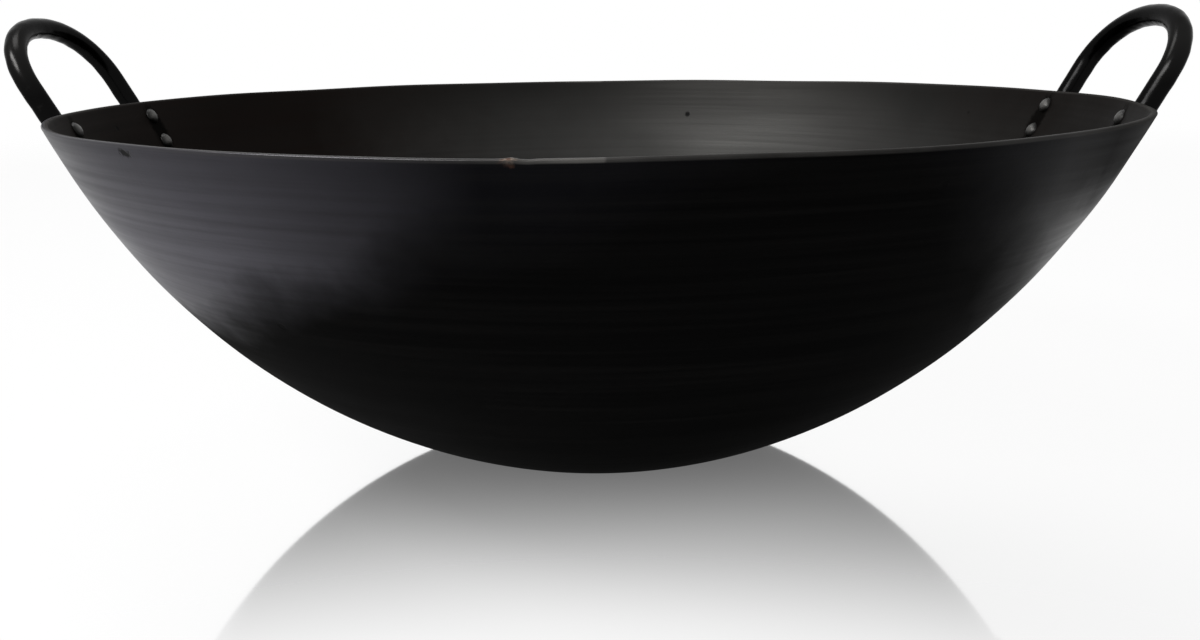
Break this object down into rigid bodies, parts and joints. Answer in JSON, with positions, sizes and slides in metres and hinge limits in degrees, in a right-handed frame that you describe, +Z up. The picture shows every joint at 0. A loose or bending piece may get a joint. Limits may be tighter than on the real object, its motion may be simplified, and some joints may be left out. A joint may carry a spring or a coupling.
{
  "type": "two-eared wok",
  "caption": "Large round-bottomed black iron wok with a plain cut rim and a bent bar handle riveted to the outside of the wall on each side.",
  "frame": {"origin": "middle of the small flat spot that the bowl rests on", "axes": "+Z up along the bowl's axis, +X through the right handle, -Y towards the viewer"},
  "size_m": [0.6668, 0.6, 0.2643],
  "materials": {
    "seasoned_iron": "seasoned black iron, satin, with fine turning lines and small pits",
    "bar_iron": "smooth black bar, semi-gloss",
    "rivet_iron": "hammered dark rivet heads, satin"
  },
  "bodies": {
    "root": {"bowl": "seasoned_iron", "handle_left": "bar_iron", "handle_right": "bar_iron", "rivet_left_front_upper": "rivet_iron", "rivet_left_front_lower": "rivet_iron", "rivet_left_back_upper": "rivet_iron", "rivet_left_back_lower": "rivet_iron", "rivet_right_front_upper": "rivet_iron", "rivet_right_front_lower": "rivet_iron", "rivet_right_back_upper": "rivet_iron", "rivet_right_back_lower": "rivet_iron"}
  },
  "joints": []
}
